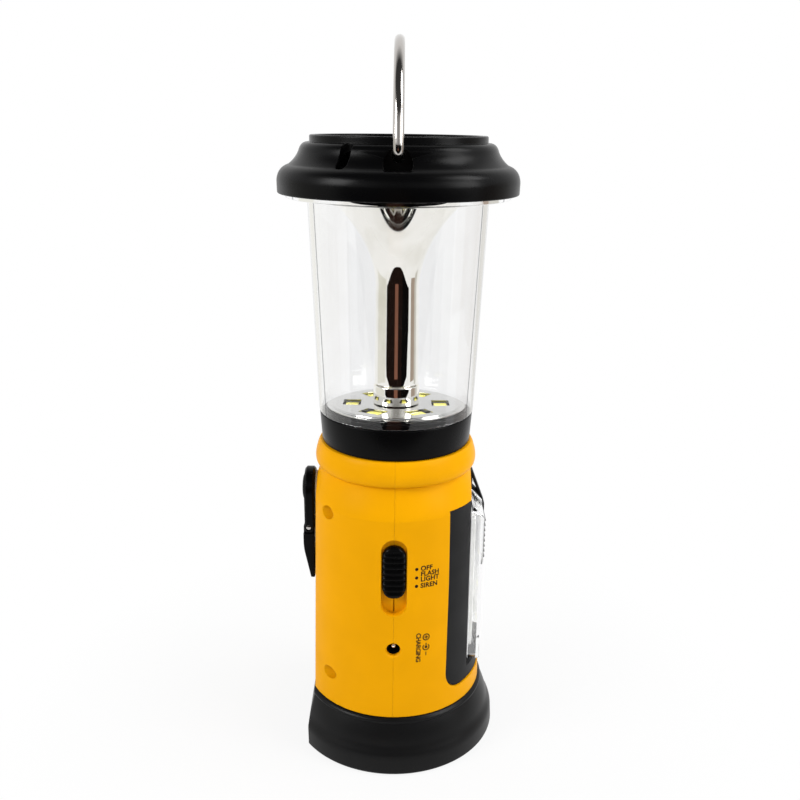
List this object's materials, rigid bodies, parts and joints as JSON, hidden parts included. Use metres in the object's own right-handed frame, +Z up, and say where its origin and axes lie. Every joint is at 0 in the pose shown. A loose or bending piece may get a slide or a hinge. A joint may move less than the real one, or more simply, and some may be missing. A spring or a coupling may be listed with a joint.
{
  "type": "hand crank lantern",
  "caption": "Standing camping lantern with a hand crank, a clear lantern head under a bailed cap, a side lamp and a torch in its flared foot.",
  "frame": {"origin": "centre of the foot, on the surface the lantern stands on", "axes": "+Z up along the lantern, the slider faces -Y, the crank is on -X and the side lamp on +X"},
  "size_m": [0.0842, 0.0842, 0.2625],
  "materials": {
    "yellow_plastic": "satin moulded ABS with a fine spark texture",
    "black_plastic": "satin black moulded plastic",
    "clear_plastic": "clear polished polystyrene",
    "mirror_chrome": "vacuum metallised plastic",
    "chrome_wire": "nickel plated steel wire",
    "white_plastic": "white moulded reflector",
    "board_green": "solder resist over glass epoxy",
    "steel": "zinc plated steel",
    "nylon": "natural nylon",
    "led_yellow": "phosphor filled resin",
    "cell_sleeve": "shrink sleeve over a steel can"
  },
  "bodies": {
    "lantern": {"cap": "black_plastic", "shade": "clear_plastic", "trumpet_reflector": "mirror_chrome", "column_foot_ring": "mirror_chrome", "reflector_disc": "mirror_chrome", "lantern_led_board": "board_green", "lantern_led_1": "led_yellow", "lantern_led_2": "led_yellow", "lantern_led_3": "led_yellow", "lantern_led_4": "led_yellow", "lantern_led_5": "led_yellow", "lantern_led_6": "led_yellow", "collar": "black_plastic", "left_shell": "yellow_plastic", "right_shell": "yellow_plastic", "shell_screw_1": "steel", "shell_screw_2": "steel", "shell_screw_3": "steel", "shell_screw_4": "steel", "slide_switch": "steel", "front_board": "board_green", "dc_jack": "black_plastic", "main_board": "board_green", "siren": "black_plastic", "battery_tray": "black_plastic", "battery_cell_1": "cell_sleeve", "battery_cell_2": "cell_sleeve", "battery_cell_3": "cell_sleeve", "side_bezel": "black_plastic", "side_lens": "clear_plastic", "side_grip_strip": "black_plastic", "side_reflector": "white_plastic", "side_led_board": "board_green", "side_led_1": "led_yellow", "side_led_2": "led_yellow", "side_led_3": "led_yellow", "side_led_4": "led_yellow", "crank_bush": "nylon", "gearbox_frame": "black_plastic", "gearbox_cover": "black_plastic", "idler_pin": "steel", "generator_stator": "steel", "base_ring": "black_plastic", "torch_lens": "clear_plastic", "torch_reflector": "mirror_chrome", "torch_board": "board_green", "torch_led": "led_yellow"},
    "bail": {"bail_handle": "chrome_wire"},
    "crank": {"crank_arm": "black_plastic", "crank_cap": "black_plastic", "grip_pin": "steel", "crank_shaft": "steel", "drive_gear": "nylon"},
    "grip": {"crank_grip": "black_plastic"},
    "idler": {"idler_gear": "nylon"},
    "rotor": {"generator_rotor": "steel"},
    "slider": {"slider_knob": "black_plastic"}
  },
  "joints": [
    {"name": "crank_spin", "type": "hinge", "parent": "lantern", "child": "crank", "pos_m": [-0.033, 0, 0.1003], "axis": [1, 0, 0], "continuous": true},
    {"name": "grip_fold", "type": "hinge", "parent": "crank", "child": "grip", "pos_m": [-0.033, 0, 0.0857], "axis": [0, 1, 0], "range_deg": [0, 90]},
    {"name": "idler_spin", "type": "hinge", "parent": "lantern", "child": "idler", "pos_m": [-0.015, 0, 0.0853], "axis": [1, 0, 0], "continuous": true},
    {"name": "rotor_spin", "type": "hinge", "parent": "lantern", "child": "rotor", "pos_m": [-0.003, 0, 0.0703], "axis": [1, 0, 0], "continuous": true},
    {"name": "slider_slide", "type": "slide", "parent": "lantern", "child": "slider", "axis": [0, 0, 1], "range_m": [-0.0062, 0]},
    {"name": "bail_swing", "type": "hinge", "parent": "lantern", "child": "bail", "pos_m": [0, 0, 0.2247], "axis": [0, 1, 0], "range_deg": [-75, 75]}
  ],
  "couplings": [
    {"joint": "idler_spin", "follows": "crank_spin", "ratio": -4},
    {"joint": "rotor_spin", "follows": "crank_spin", "ratio": 16}
  ]
}
